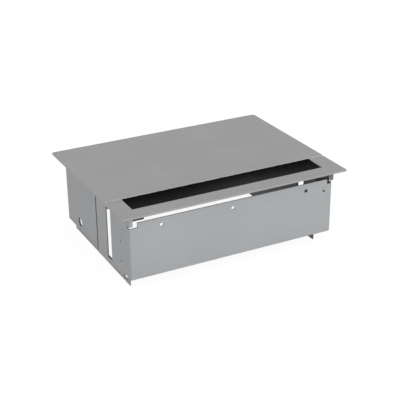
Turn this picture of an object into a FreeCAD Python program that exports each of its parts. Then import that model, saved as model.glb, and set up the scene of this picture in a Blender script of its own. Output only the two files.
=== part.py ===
"""Recessed socket box for a table top: folded sheet shell, hinged lid, brush strip and a tilted socket strip.

The frame stands on the box's lowest edge: X runs along the hinge, Y from the brush to the hinge, Z up.
"""
import FreeCAD, Part
import Sketcher
import os

# Driving dimensions in millimetres (angles in degrees), each one a named cell of the sheet
DIMENSIONS = {
    "top_length": 300, "top_depth": 228, "total_height": 95,
    "side_overhang": 13, "front_overhang": 11.6, "rear_overhang": 13.6, "overcut": 1,
    "wall_sheet": 1.2, "bend_outer": 2.4, "wall_foot": 2, "flange_reach": 11.5, "flange_setback": 3,
    "lid_sheet": 1.5, "lid_clearance": 0.3, "lid_front": 61.8, "lid_corner": 3, "lid_front_corner": 2.5,
    "seam_middle": -2.3, "seam_gap": 2.6, "rear_foot": 5.5,
    "front_low": 10, "front_high": 81.7, "notch_low": 75.5, "notch_inner": 126.6, "right_notch_inner": 129.5,
    "tab_inner": 132.2, "tab_low": 77.5, "relief_reach": 5, "cheek_start": -44,
    "lug_outer": 138.5, "lug_low": 79.2, "lug_high": 88,
    "slot_front": -47.3, "slot_back": -34.5, "slot_low": 10, "slot_high": 80, "plate_slot_back": -31,
    "right_slot_back": -27.5, "nick_front": -92.5, "nick_back": -83.5, "nick_high": 10.7,
    "entry_hole_y": 56.5, "entry_hole_z": 17, "entry_hole_radius": 6,
    "fixing_middle": 1.2, "fixing_reach": 97.6, "fixing_extra": -3.1,
    "fixing_height": 72.5, "fixing_radius": 2.25,
    "rivet_radius": 1.5, "rivet_head_radius": 2, "rivet_head": 0.5, "rivet_hole_radius": 1.6,
    "left_rivet_y": -76, "left_rivet_low": 23.4, "left_rivet_high": 49,
    "plate_top": 88, "plate_front": -99.5, "left_plate_front": -96, "left_plate_back": 76.5,
    "slit_front": -90, "slit_back": -77, "slit_low": 5, "slit_high": 9.8,
    "partition_left": 113.4, "partition_foot": 1.5, "partition_tab": 131,
    "tab_bottom": 57, "tab_top": 77, "tab_rivet_x": 125, "tab_rivet_z": 67,
    "cable_window_front": -74, "cable_window_back": -60.5,
    "cable_window_low": 48, "cable_window_high": 74,
    "strap_half": 16, "strap_low": 8, "strap_high": 86, "strap_rivet_low": 25, "strap_rivet_high": 70,
    "strip_sheet": 1.3, "strip_lip": 1.9, "strip_corner": 1.5,
    "window_half": 128, "window_front": -93, "window_play": 0.3,
    "bar_front": -101, "bar_back": -93.4, "bar_wall": 0.8, "bar_height": 4.6, "bar_half": 127.4,
    "clip_inner": 117.9, "clip_outer": 131.5, "clip_low": 84.2, "clip_front": -102.1,
    "clip_back": -91.4, "clip_bevel": 2,
    "clip_screw_x": 129.4, "clip_screw_y": -96.8, "clip_screw_radius": 1.25,
    "clip_head_radius": 2, "clip_head": 1.2, "bristle_end": -62.4,
    "stiffener_half": 110, "stiffener_front": -59.5, "stiffener_back": -41.5,
    "stiffener_drop": 9, "stiffener_sheet": 1,
    "buffer_radius": 4, "buffer_x": 142.7, "buffer_front_y": -50, "buffer_back_y": 85, "buffer_play": 0.05,
    "knuckle_radius": 1.4, "knuckle_count": 7, "knuckle_gap": 0.4, "knuckle_relief": 0.4,
    "hinge_half": 147, "rail_sheet": 1, "rail_low": 79, "rail_end_gap": 3.6,
    "pin_radius": 0.6, "pin_hole_radius": 0.65, "pin_set_in": 0.5,
    "rail_rivet_z": 85.5, "rail_rivet_pitch": 110, "rail_rivet_count": 3,
    "socket_tilt": 20, "socket_y": 70, "socket_z": 60,
    "housing_half": 23, "housing_depth": 38, "housing_wall": 2, "housing_bend": 3,
    "cap_thick": 4, "ear_offset": 28, "ear_radius": 5, "ear_thick": 3,
    "cap_screw_radius": 1.5, "cap_hole_radius": 1.7, "cap_head_radius": 2.8, "cap_head": 2,
    "screw_set_in": 0.1,
    "socket_pitch": 60, "socket_count": 4, "bezel_length": 59.6, "bezel_thick": 2,
    "cup_radius": 20.7, "well_radius": 19.4, "well_depth": 17.5, "cup_floor": 1.5,
    "contact_offset": 9.5, "contact_hole_radius": 2.6,
    "clip_width": 4, "clip_thick": 0.8, "clip_wall_gap": 0.2, "clip_bow": 1.6, "earth_clip_depth": 12,
    "jaw_inner": 2.3, "jaw_outer": 3.1, "jaw_width": 5, "jaw_length": 7,
    "rail_strip_near": 4, "rail_strip_far": 10,
    "gland_radius": 9, "gland_hole_radius": 9.4, "gland_nut_radius": 12.5, "gland_nut": 5, "gland_reach": 15,
}

doc = FreeCAD.newDocument("recessed_socket_box")
sheet = doc.addObject("Spreadsheet::Sheet", "dims")
for row, (alias, number) in enumerate(DIMENSIONS.items(), start=1):
    sheet.set("A%d" % row, alias)
    sheet.set("B%d" % row, str(number))
    sheet.setAlias("B%d" % row, alias)

# Heights and places that follow from the driving dimensions
DERIVED = {
    "half_length": "top_length / 2",
    "half_depth": "top_depth / 2",
    "wall_x": "top_length / 2 - side_overhang",
    "front_y": "front_overhang - top_depth / 2",
    "back_y": "top_depth / 2 - rear_overhang",
    "lid_under": "total_height - lid_sheet",
    "flange_top": "total_height - lid_sheet - lid_clearance",
    "flange_under": "flange_top - wall_sheet",
    "strip_top": "flange_top + strip_sheet",
    "hinge_y": "top_depth / 2 - knuckle_radius",
    "hinge_z": "total_height - knuckle_radius",
    "knuckle_pitch": "2 * hinge_half / knuckle_count",
    "cap_left": "wall_sheet - wall_x + wall_sheet",
    "cap_right": "partition_left",
    "ear_shift": "ear_offset * sin(socket_tilt)",
    "ear_rise": "ear_offset * cos(socket_tilt)",
    "housing_left": "cap_left + cap_thick",
    "housing_right": "cap_right - cap_thick",
    "socket_first": "housing_left + socket_pitch / 2",
    "rail_rivet_first": "-rail_rivet_pitch * (rail_rivet_count - 1) / 2",
    "lid_knuckles": "(knuckle_count + 1) / 2",
    "rail_knuckles": "(knuckle_count - 1) / 2",
    "nut_rise": "gland_nut_radius * sqrt(3) / 2",
    "cup_back": "bezel_thick - well_depth - cup_floor",
}
for row, (alias, formula) in enumerate(DERIVED.items(), start=len(DIMENSIONS) + 1):
    sheet.set("A%d" % row, alias)
    sheet.set("B%d" % row, "=" + formula)
    sheet.setAlias("B%d" % row, alias)
doc.recompute()

WORDS = sorted(list(DIMENSIONS) + list(DERIVED), key=len, reverse=True)
AXIS_SIGN = {"XY": "", "XZ": "-", "YZ": ""}
STRAP_FRONT = "seam_middle - strap_half / 2"
STRAP_BACK = "seam_middle + strap_half / 2"
TAB_RIVET = [("tab_rivet_x", "tab_rivet_z")]


def cells(formula):
    """Write a formula of plain dimension words as an expression on the sheet's cells."""
    out = []
    for token in formula.replace("(", " ( ").replace(")", " ) ").split():
        sign = "-" if token.startswith("-") and token[1:] in WORDS else ""
        word = token[len(sign):]
        out.append(sign + "dims." + word if word in WORDS else token)
    return " ".join(out)


def new_body(label):
    """Start an empty sub-part that may hold several like solids."""
    body = doc.addObject("PartDesign::Body", label)
    body.Label = label
    body.AllowCompound = True
    return body


def origin_feature(body, role):
    """Find one of a body's own origin planes or axes by its role."""
    return [feature for feature in body.Origin.OriginFeatures if feature.Role == role][0]


def fix_point(sketch, geometry, point, x, y):
    """Tie one sketch point to the sheet by its two coordinates."""
    for kind, formula in (("DistanceX", x), ("DistanceY", y)):
        number = sketch.evalExpression(cells(formula))
        index = sketch.addConstraint(Sketcher.Constraint(kind, -1, 1, geometry, point, number))
        sketch.setExpression("Constraints[%d]" % index, cells(formula))


def draw_outline(sketch, corners):
    """Draw a closed straight-sided outline through corners given as pairs of formulas."""
    first = sketch.GeometryCount
    count = len(corners)
    points = [FreeCAD.Vector(*[sketch.evalExpression(cells(f)) for f in corner], 0) for corner in corners]
    for index in range(count):
        sketch.addGeometry(Part.LineSegment(points[index], points[(index + 1) % count]))
    for index in range(count):
        after = first + (index + 1) % count
        sketch.addConstraint(Sketcher.Constraint("Coincident", first + index, 2, after, 1))
    for index, (x, y) in enumerate(corners):
        fix_point(sketch, first + index, 1, x, y)


def draw_circle(sketch, x, y, radius):
    """Draw a circle with its centre and radius tied to the sheet."""
    centre = FreeCAD.Vector(sketch.evalExpression(cells(x)), sketch.evalExpression(cells(y)), 0)
    number = sketch.evalExpression(cells(radius))
    geometry = sketch.addGeometry(Part.Circle(centre, FreeCAD.Vector(0, 0, 1), number))
    index = sketch.addConstraint(Sketcher.Constraint("Radius", geometry, number))
    sketch.setExpression("Constraints[%d]" % index, cells(radius))
    fix_point(sketch, geometry, 3, x, y)


def box_corners(left, right, low, high):
    """The four corners of a rectangle between formulas."""
    return [(left, low), (right, low), (right, high), (left, high)]


def new_sketch(body, plane, level):
    """Attach a sketch to one of the body's origin planes, moved to a level along the plane's axis."""
    sketch = body.newObject("Sketcher::SketchObject", body.Label + "_sketch")
    sketch.AttachmentSupport = [(origin_feature(body, plane + "_Plane"), "")]
    sketch.MapMode = "FlatFace"
    sketch.setExpression("AttachmentOffset.Base.z", "%s(%s)" % (AXIS_SIGN[plane], cells(level)))
    return sketch


def profile_feature(kind, body, plane, low, high, outlines=(), circles=()):
    """Pad or pocket outlines and circles between two levels along the plane's axis."""
    before = body.Shape.Volume if body.Tip else 0
    sketch = new_sketch(body, plane, "( %s + %s ) / 2" % (low, high))
    for corners in outlines:
        draw_outline(sketch, corners)
    for x, y, radius in circles:
        draw_circle(sketch, x, y, radius)
    feature = body.newObject("PartDesign::" + kind, body.Label + "_" + kind.lower())
    feature.Profile = sketch
    feature.Midplane = True
    feature.setExpression("Length", cells("%s - ( %s )" % (high, low)))
    doc.recompute()
    change = body.Shape.Volume - before
    if change * (1 if kind == "Pad" else -1) <= 0:
        raise RuntimeError("%s changed nothing in %s" % (feature.Name, body.Label))
    return feature


def pad(body, plane, low, high, outlines=(), circles=()):
    """Add material between two levels."""
    return profile_feature("Pad", body, plane, low, high, outlines, circles)


def pocket(body, plane, low, high, outlines=(), circles=()):
    """Cut material between two levels."""
    return profile_feature("Pocket", body, plane, low, high, outlines, circles)


def repeat_along_x(body, feature, step, occurrences):
    """Repeat a feature at even steps along the body's X axis."""
    pattern = body.newObject("PartDesign::LinearPattern", body.Label + "_pattern")
    pattern.Originals = [feature]
    pattern.Direction = (origin_feature(body, "X_Axis"), [""])
    pattern.setExpression("Length", cells("( %s ) * ( %s - 1 )" % (step, occurrences)))
    pattern.setExpression("Occurrences", cells(occurrences))
    body.Tip = pattern
    doc.recompute()


def edges_at(body, places, axis):
    """Names of the body's straight edges along an axis that pass through given cross places."""
    names = []
    others = [index for index in range(3) if index != axis]
    for number, edge in enumerate(body.Shape.Edges, start=1):
        ends = [vertex.Point for vertex in edge.Vertexes]
        if len(ends) == 2 and all(abs(ends[0][i] - ends[1][i]) < 1e-6 for i in others):
            cross = [ends[0][i] for i in others]
            if any(all(abs(a - b) < 1e-6 for a, b in zip(cross, place)) for place in places):
                names.append("Edge%d" % number)
    return names


def dress(kind, body, names, size, formula):
    """Round or chamfer the named edges of the body's last feature."""
    base = body.Tip
    feature = body.newObject("PartDesign::" + kind, body.Label + "_" + kind.lower())
    feature.Base = (base, names)
    feature.setExpression(size, cells(formula))
    doc.recompute()


def number_of(formula):
    """The present value of a formula of dimension words."""
    return sheet.evalExpression(cells(formula))


def bend_sheet(body, corner_y, inward):
    """Give the two upright corners of a folded sheet their outer and inner bend radius."""
    x, y, thick = number_of("wall_x"), number_of(corner_y), number_of("wall_sheet")
    outer = [(side * x, y) for side in (-1, 1)]
    dress("Fillet", body, edges_at(body, outer, 2), "Radius", "bend_outer")
    inner = [(side * (x - thick), y + inward * thick) for side in (-1, 1)]
    dress("Fillet", body, edges_at(body, inner, 2), "Radius", "bend_outer - wall_sheet")


def side_flanges(body, front, back):
    """Fold the tops of both side walls outwards, to hang on the table's surface."""
    for side in ("", "-"):
        outer = "%s(wall_x + flange_reach)" % side
        web = "%s(wall_x - wall_sheet)" % side
        pad(body, "XY", "flange_under", "flange_top", [box_corners(web, outer, front, back)])
        corner = [(number_of(web), number_of("flange_top"))]
        dress("Fillet", body, edges_at(body, corner, 1), "Radius", "wall_sheet")


def make_front_wall():
    """Front panel and side cheeks folded from one sheet, with table fixing holes and cable slots."""
    body = new_body("front_wall")
    back = "seam_middle - seam_gap / 2"
    web = "wall_x - wall_sheet"
    folded = [("-wall_x", "front_y"), ("wall_x", "front_y"), ("wall_x", back), (web, back),
              (web, "front_y + wall_sheet"), ("-(%s)" % web, "front_y + wall_sheet"),
              ("-(%s)" % web, back), ("-wall_x", back)]
    pad(body, "XY", "wall_foot", "flange_under", [folded])
    bend_sheet(body, "front_y", 1)
    gap = [("-notch_inner", "front_high"), ("-notch_inner", "notch_low"), ("-half_length", "notch_low"),
           ("-half_length", "tab_low"), ("-tab_inner", "tab_low"), ("-tab_inner", "total_height"),
           ("tab_inner", "total_height"), ("tab_inner", "tab_low"), ("half_length", "tab_low"),
           ("half_length", "notch_low"), ("right_notch_inner", "notch_low"),
           ("right_notch_inner", "front_high")]
    outside, inside = "front_y - overcut", "front_y + relief_reach"
    pocket(body, "XZ", outside, inside, [gap])
    lug = box_corners("wall_x - bend_outer", "lug_outer", "lug_low", "lug_high")
    pad(body, "XZ", "front_y", "front_y + wall_sheet", [lug])
    below = "wall_foot - overcut"
    cheek = [("cheek_start", below), ("cheek_start", "wall_foot"), ("front_y", "front_low"),
             (outside, "front_low"), (outside, below)]
    pocket(body, "YZ", "-half_length", "half_length", [cheek])
    slot = box_corners("slot_front", "slot_back", "slot_low", "slot_high")
    nick = box_corners("nick_front", "nick_back", "wall_foot", "nick_high")
    pocket(body, "YZ", "-wall_x - overcut", "-tab_inner", [slot, nick], rounds(left_rivet_places()))
    front_half = [place for place in strap_places() if place[0] == STRAP_FRONT]
    wide_slot = box_corners("slot_front", "right_slot_back", "slot_low", "slot_high")
    pocket(body, "YZ", "tab_inner", "wall_x + overcut", [wide_slot], rounds(front_half))
    across = ("fixing_middle - fixing_reach", "fixing_extra", "fixing_middle + fixing_reach")
    fixings = [(x, "fixing_height", "fixing_radius") for x in across]
    pocket(body, "XZ", outside, inside, (), fixings + rounds(TAB_RIVET))
    side_flanges(body, "plate_front", back)
    return body


def make_rear_wall():
    """Rear panel and side cheeks folded from one sheet, with the cable entry on the left."""
    body = new_body("rear_wall")
    front = "seam_middle + seam_gap / 2"
    web = "wall_x - wall_sheet"
    folded = [("-wall_x", "back_y"), ("-wall_x", front), ("-(%s)" % web, front),
              ("-(%s)" % web, "back_y - wall_sheet"), (web, "back_y - wall_sheet"),
              (web, front), ("wall_x", front), ("wall_x", "back_y")]
    pad(body, "XY", "rear_foot", "flange_under", [folded])
    bend_sheet(body, "back_y", -1)
    entry = [("entry_hole_y", "entry_hole_z", "entry_hole_radius")]
    pocket(body, "YZ", "-wall_x - overcut", "-tab_inner", (), entry)
    rear_half = [place for place in strap_places() if place[0] == STRAP_BACK]
    pocket(body, "YZ", "tab_inner", "wall_x + overcut", (), rounds(rear_half))
    inside, outside = "back_y - flange_setback", "back_y + overcut"
    hole = pocket(body, "XZ", inside, outside, (), rounds([("rail_rivet_first", "rail_rivet_z")]))
    repeat_along_x(body, hole, "rail_rivet_pitch", "rail_rivet_count")
    pocket(body, "XZ", inside, outside, (), rounds(TAB_RIVET))
    side_flanges(body, front, inside)
    return body


def rounds(places):
    """Rivet holes at given places."""
    return [(u, v, "rivet_hole_radius") for u, v in places]


def left_rivet_places():
    """Where the left wall is riveted to its end plate."""
    return [("left_rivet_y", z) for z in ("left_rivet_low", "left_rivet_high")]


def strap_places():
    """Where the strap inside the right wall is riveted, front sheet first."""
    return [(y, z) for y in (STRAP_FRONT, STRAP_BACK) for z in ("strap_rivet_low", "strap_rivet_high")]


def strip_ear_places():
    """Where the socket strip's two end screws meet the end plates, as formulas."""
    return [("socket_y %s ear_shift" % sign, "socket_z %s ear_rise" % sign) for sign in ("+", "-")]


def make_left_end_plate():
    """Flat plate inside the left wall that bridges the seam and carries the socket strip's left end."""
    body = new_body("left_end_plate")
    outer, inner = "wall_sheet - wall_x", "2 * wall_sheet - wall_x"
    pad(body, "YZ", outer, inner, [box_corners("left_plate_front", "left_plate_back", "0", "plate_top")])
    slot = box_corners("slot_front", "plate_slot_back", "slot_low", "slot_high")
    slit = box_corners("slit_front", "slit_back", "slit_low", "slit_high")
    holes = [("entry_hole_y", "entry_hole_z", "entry_hole_radius")] + rounds(left_rivet_places())
    holes += [(y, z, "cap_hole_radius") for y, z in strip_ear_places()]
    pocket(body, "YZ", outer + " - overcut", inner + " + overcut", [slot, slit], holes)
    return body


def make_right_end_plate():
    """Partition that carries the strip's right end and fences off the cable compartment."""
    body = new_body("right_end_plate")
    left, right = "partition_left", "partition_left + wall_sheet"
    front, back = "front_y + wall_sheet", "back_y - wall_sheet"
    folded = box_corners(left, right, "plate_front", back + " - wall_sheet")
    pad(body, "XY", "partition_foot", "plate_top", [folded])
    for low, high in ((front, front + " + wall_sheet"), (back + " - wall_sheet", back)):
        pad(body, "XZ", low, high, [box_corners(left, "partition_tab", "tab_bottom", "tab_top")])
    neck = box_corners(left, right, front + " + wall_sheet / 2", "plate_front + overcut")
    pad(body, "XY", "tab_bottom", "tab_top", [neck])
    window = box_corners("cable_window_front", "cable_window_back", "cable_window_low", "cable_window_high")
    holes = [(y, z, "cap_hole_radius") for y, z in strip_ear_places()]
    holes.append(("socket_y", "socket_z", "gland_hole_radius"))
    pocket(body, "YZ", left + " - overcut", right + " + overcut", [window], holes)
    pocket(body, "XZ", "front_y", "back_y", (), rounds(TAB_RIVET))
    return body


def make_right_joint_strap():
    """Short plate that bridges the seam inside the right wall."""
    body = new_body("right_joint_strap")
    low, high = "wall_x - 2 * wall_sheet", "wall_x - wall_sheet"
    front, back = "seam_middle - strap_half", "seam_middle + strap_half"
    pad(body, "YZ", low, high, [box_corners(front, back, "strap_low", "strap_high")])
    pocket(body, "YZ", low + " - overcut", high + " + overcut", (), rounds(strap_places()))
    return body


def make_rivets(label, plane, outside, inside, places, outward):
    """A group of rivets: a low head outside and a shank through the sheets, hammered flush inside."""
    body = new_body(label)
    head = "%s + %s" % (outside, "rivet_head" if outward > 0 else "-rivet_head")
    for one, two, radius in ((head, inside, "rivet_radius"), (head, outside, "rivet_head_radius")):
        low, high = (two, one) if outward > 0 else (one, two)
        pad(body, plane, low, high, (), [(u, v, radius) for u, v in places])
    return body


def make_all_rivets():
    """Every rivet group of the shell."""
    make_rivets("left_rivets", "YZ", "-wall_x", "2 * wall_sheet - wall_x", left_rivet_places(), -1)
    make_rivets("strap_rivets", "YZ", "wall_x", "wall_x - 2 * wall_sheet", strap_places(), 1)
    make_rivets("partition_front_rivet", "XZ", "front_y", "front_y + 2 * wall_sheet", TAB_RIVET, -1)
    make_rivets("partition_rear_rivet", "XZ", "back_y", "back_y - 2 * wall_sheet", TAB_RIVET, 1)
    rail = [("rail_rivet_first + rail_rivet_pitch * %d" % index, "rail_rivet_z")
            for index in range(int(number_of("rail_rivet_count")))]
    make_rivets("rail_rivets", "XZ", "back_y", "back_y - wall_sheet - rail_sheet", rail, 1)


def make_front_strip():
    """Fixed front part of the top, cut out for the brush and turned down along its front edge."""
    body = new_body("front_strip")
    back = "-lid_front - window_play"
    outline = [("-half_length", "-half_depth"), ("half_length", "-half_depth"), ("half_length", back),
               ("window_half", back), ("window_half", "window_front"), ("-window_half", "window_front"),
               ("-window_half", back), ("-half_length", back)]
    pad(body, "XY", "flange_top", "strip_top", [outline])
    lip = box_corners("-half_length", "half_length", "-half_depth", "strip_sheet - half_depth")
    pad(body, "XY", "strip_top - strip_lip", "strip_top", [lip])
    x, y = number_of("half_length"), -number_of("half_depth")
    dress("Fillet", body, edges_at(body, [(-x, y), (x, y)], 2), "Radius", "strip_corner")
    return body


def make_brush():
    """Brush bar, its bristle field, the two end clips and their screws, all hung under the front strip."""
    top = "flange_top"
    low = "flange_top - bar_height"
    mouth_low, mouth_high = low + " + bar_wall", top + " - bar_wall"
    bar = new_body("brush_bar")
    channel = [("bar_front", low), ("bar_back", low), ("bar_back", mouth_low),
               ("bar_front + bar_wall", mouth_low), ("bar_front + bar_wall", mouth_high),
               ("bar_back", mouth_high), ("bar_back", top), ("bar_front", top)]
    pad(bar, "YZ", "-bar_half", "bar_half", [channel])
    bristles = new_body("brush_bristles")
    field = box_corners("bar_front + bar_wall", "bristle_end", mouth_low, mouth_high)
    pad(bristles, "YZ", "-bar_half", "bar_half", [field])
    bevel = "clip_low + clip_bevel"
    shape = [("clip_front", "clip_low"), ("clip_back - clip_bevel", "clip_low"), ("clip_back", bevel),
             ("clip_back", low), ("bar_front", low), ("bar_front", top), ("clip_front", top)]
    for side, label in (("-", "brush_clip_left"), ("", "brush_clip_right")):
        clip = new_body(label)
        inner, outer = sorted((side + "clip_inner", side + "clip_outer"), key=number_of)
        pad(clip, "YZ", inner, outer, [shape])
        end = sorted((side + "bar_half", side + "clip_outer"), key=number_of)
        pad(clip, "YZ", end[0], end[1], [box_corners("clip_front", "clip_back", bevel, top)])
        bore = (side + "clip_screw_x", "clip_screw_y", "clip_screw_radius")
        pocket(clip, "XY", "clip_low - overcut", top + " + overcut", (), [bore])
    screws = new_body("brush_screws")
    head = "clip_low - clip_head"
    for level, radius in ((top, "clip_screw_radius"), ("clip_low", "clip_head_radius")):
        places = [(side + "clip_screw_x", "clip_screw_y", radius) for side in ("-", "")]
        pad(screws, "XY", head, level, (), places)


def knuckle_span(index):
    """The X limits of one hinge knuckle, counted from the left end."""
    left = "knuckle_pitch * %d - hinge_half" % index
    return left + " + knuckle_gap / 2", left + " + knuckle_pitch - knuckle_gap / 2"


def add_knuckles(body, first, count, cut_low, cut_high, open_first, open_count):
    """Give a hinge leaf its knuckles, the notches for the other leaf's knuckles and the pin bore."""
    left, right = knuckle_span(open_first)
    reach = "hinge_y - knuckle_radius - knuckle_relief"
    notch_left, notch_right = left + " - 2 * knuckle_gap", right + " + 2 * knuckle_gap"
    notch = box_corners(notch_left, notch_right, reach, "half_depth + overcut")
    hole = pocket(body, "XY", cut_low, cut_high, [notch])
    repeat_along_x(body, hole, "2 * knuckle_pitch", open_count)
    left, right = knuckle_span(first)
    roll = pad(body, "YZ", left, right, (), [("hinge_y", "hinge_z", "knuckle_radius")])
    repeat_along_x(body, roll, "2 * knuckle_pitch", count)
    pocket(body, "YZ", "-hinge_half", "hinge_half", (), [("hinge_y", "hinge_z", "pin_hole_radius")])


def make_hinge():
    """Hinge rail on the rear wall and the pin that runs through both leaves."""
    rail = new_body("hinge_rail")
    inner = "back_y - wall_sheet"
    leaf_low = "flange_top - rail_sheet"
    web = inner + " - rail_sheet"
    angle = [(web, "rail_low"), (inner, "rail_low"), (inner, leaf_low), ("hinge_y", leaf_low),
             ("hinge_y", "flange_top"), (web, "flange_top")]
    pad(rail, "YZ", "-hinge_half", "hinge_half", [angle])
    inside = "back_y - relief_reach"
    for side in ("-", ""):
        low, high = sorted((side + "(wall_x - rail_end_gap)", side + "half_length"), key=number_of)
        pocket(rail, "YZ", low, high, [box_corners(inside, "back_y", "rail_low - overcut", leaf_low)])
    hole = pocket(rail, "XZ", inside, "back_y", (), rounds([("rail_rivet_first", "rail_rivet_z")]))
    repeat_along_x(rail, hole, "rail_rivet_pitch", "rail_rivet_count")
    add_knuckles(rail, 1, "rail_knuckles", "flange_under", "flange_top + overcut", 0, "lid_knuckles")
    pin = new_body("hinge_pin")
    end = "hinge_half - pin_set_in"
    pad(pin, "YZ", "-(%s)" % end, end, (), [("hinge_y", "hinge_z", "pin_radius")])


def make_lid():
    """Lid sheet with rolled hinge knuckles, its front stiffener and the buffers that it lands on."""
    lid = new_body("lid_panel")
    plate = box_corners("-half_length", "half_length", "-lid_front", "hinge_y")
    pad(lid, "XY", "lid_under", "total_height", [plate])
    x, y = number_of("half_length"), number_of("hinge_y")
    dress("Fillet", lid, edges_at(lid, [(-x, y), (x, y)], 2), "Radius", "lid_corner")
    front = -number_of("lid_front")
    dress("Fillet", lid, edges_at(lid, [(-x, front), (x, front)], 2), "Radius", "lid_front_corner")
    add_knuckles(lid, 0, "lid_knuckles", "lid_under - overcut", "total_height + overcut", 1, "rail_knuckles")
    channel = new_body("lid_stiffener")
    foot, web = "lid_under - stiffener_drop", "lid_under - stiffener_sheet"
    front, back = "stiffener_front + stiffener_sheet", "stiffener_back - stiffener_sheet"
    hat = [("stiffener_front", foot), (front, foot), (front, web), (back, web), (back, foot),
           ("stiffener_back", foot), ("stiffener_back", "lid_under"), ("stiffener_front", "lid_under")]
    pad(channel, "YZ", "-stiffener_half", "stiffener_half", [hat])
    buffers = new_body("lid_buffers")
    places = [(x, y, "buffer_radius") for x in ("-buffer_x", "buffer_x")
              for y in ("buffer_front_y", "buffer_back_y")]
    pad(buffers, "XY", "flange_top", "lid_under - buffer_play", (), places)


def tilt(body):
    """Lean a piece of the socket strip back, so that its face looks forwards and up."""
    angle = 90 - number_of("socket_tilt")
    turn = FreeCAD.Rotation(FreeCAD.Vector(1, 0, 0), angle)
    middle = turn.multVec(FreeCAD.Vector(0, 0, number_of("housing_depth / 2")))
    place = FreeCAD.Vector(0, number_of("socket_y"), number_of("socket_z"))
    body.Placement = FreeCAD.Placement(place + middle, turn)


def make_strip_housing():
    """Extruded channel of the socket strip, open towards the sockets."""
    housing = new_body("strip_housing")
    left, right = "housing_wall - housing_half", "housing_half - housing_wall"
    back = "housing_wall - housing_depth"
    channel = [("-housing_half", "0"), ("-housing_half", "-housing_depth"),
               ("housing_half", "-housing_depth"), ("housing_half", "0"),
               (right, "0"), (right, back), (left, back), (left, "0")]
    pad(housing, "YZ", "housing_left", "housing_right", [channel])
    half, depth = number_of("housing_half"), number_of("housing_depth")
    corners = edges_at(housing, [(-half, -depth), (half, -depth)], 0)
    dress("Fillet", housing, corners, "Radius", "housing_bend")
    tilt(housing)


def make_strip_ends():
    """End caps of the socket strip with an ear above and below, and the screws that hold them."""
    middle = "-housing_depth / 2"
    ears = [("ear_offset", middle), ("-ear_offset", middle)]
    screws = new_body("strip_screws")
    for label, plate, inside, sign, tip in (
            ("strip_end_cap_left", "cap_left", "housing_left", "+", "cap_left - wall_sheet + screw_set_in"),
            ("strip_end_cap_right", "cap_right", "housing_right", "-", "cap_right + 2 * wall_sheet")):
        cap = new_body(label)
        low, high = sorted((plate, inside), key=number_of)
        face = box_corners("-housing_half", "housing_half", "-housing_depth", "bezel_thick")
        pad(cap, "YZ", low, high, [face])
        ear = "%s %s ear_thick" % (plate, sign)
        low, high = sorted((plate, ear), key=number_of)
        for (u, v), root in zip(ears, ("housing_half", "-housing_half")):
            lug = box_corners(root, u, middle + " - ear_radius", middle + " + ear_radius")
            pad(cap, "YZ", low, high, [lug])
            pad(cap, "YZ", low, high, (), [(u, v, "ear_radius")])
        holes = [(u, v, "cap_hole_radius") for u, v in ears]
        pocket(cap, "YZ", low + " - overcut", high + " + overcut", (), holes)
        if plate == "cap_right":
            entry = [("0", middle, "gland_radius")]
            pocket(cap, "YZ", "housing_right - overcut", "cap_right + overcut", (), entry)
        tilt(cap)
        head = "%s %s cap_head" % (ear, sign)
        for end, radius in ((ear, "cap_head_radius"), (tip, "cap_screw_radius")):
            low, high = sorted((end, head), key=number_of)
            pad(screws, "YZ", low, high, (), [(u, v, radius) for u, v in ears])
    tilt(screws)


def make_cable_gland():
    """Closed gland where the supply enters the strip, with a hexagon nut against the partition."""
    middle = "-housing_depth / 2"
    gland = new_body("cable_gland")
    pad(gland, "YZ", "housing_right", "cap_right + gland_reach", (), [("0", middle, "gland_radius")])
    left, right = "-gland_nut_radius / 2", "gland_nut_radius / 2"
    low, high = middle + " - nut_rise", middle + " + nut_rise"
    hexagon = [("gland_nut_radius", middle), (right, high), (left, high),
               ("-gland_nut_radius", middle), (left, low), (right, low)]
    nut = "cap_right + wall_sheet"
    pad(gland, "YZ", nut, nut + " + gland_nut", [hexagon])
    tilt(gland)


def make_sockets():
    """One socket insert per place: a bezel with a turned cup hung behind it and two contact holes."""
    for index in range(int(number_of("socket_count"))):
        socket = new_body("socket_%d" % (index + 1))
        centre = "socket_first + socket_pitch * %d" % index
        left, right = centre + " - bezel_length / 2", centre + " + bezel_length / 2"
        pad(socket, "XY", "0", "bezel_thick", [box_corners(left, right, "-housing_half", "housing_half")])
        floor = "bezel_thick - well_depth"
        pad(socket, "XY", "cup_back", "bezel_thick", (), [(centre, "0", "cup_radius")])
        pocket(socket, "XY", floor, "bezel_thick + overcut", (), [(centre, "0", "well_radius")])
        holes = [("%s %s contact_offset" % (centre, sign), "0", "contact_hole_radius") for sign in ("-", "+")]
        pocket(socket, "XY", "cup_back - overcut", floor + " + overcut", (), holes)
        tilt(socket)


def make_earth_clips():
    """Bowed spring strips above and below in each well."""
    clips = new_body("earth_clips")
    left, right = "socket_first - clip_width / 2", "socket_first + clip_width / 2"
    floor = "bezel_thick - well_depth"
    outer, inner = "well_radius - clip_wall_gap", "well_radius - clip_thick"
    bow = "%s - clip_bow" % inner
    for side in ("", "-"):
        hook = [(side + "(%s)" % inner, floor), (side + "(%s)" % outer, floor),
                (side + "(%s)" % outer, floor + " + earth_clip_depth"),
                (side + "(%s)" % bow, floor + " + earth_clip_depth * 2 / 3"),
                (side + "(%s)" % bow, floor + " + earth_clip_depth / 2")]
        spring = pad(clips, "YZ", left, right, [hook])
        repeat_along_x(clips, spring, "socket_pitch", "socket_count")
    tilt(clips)


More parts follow.
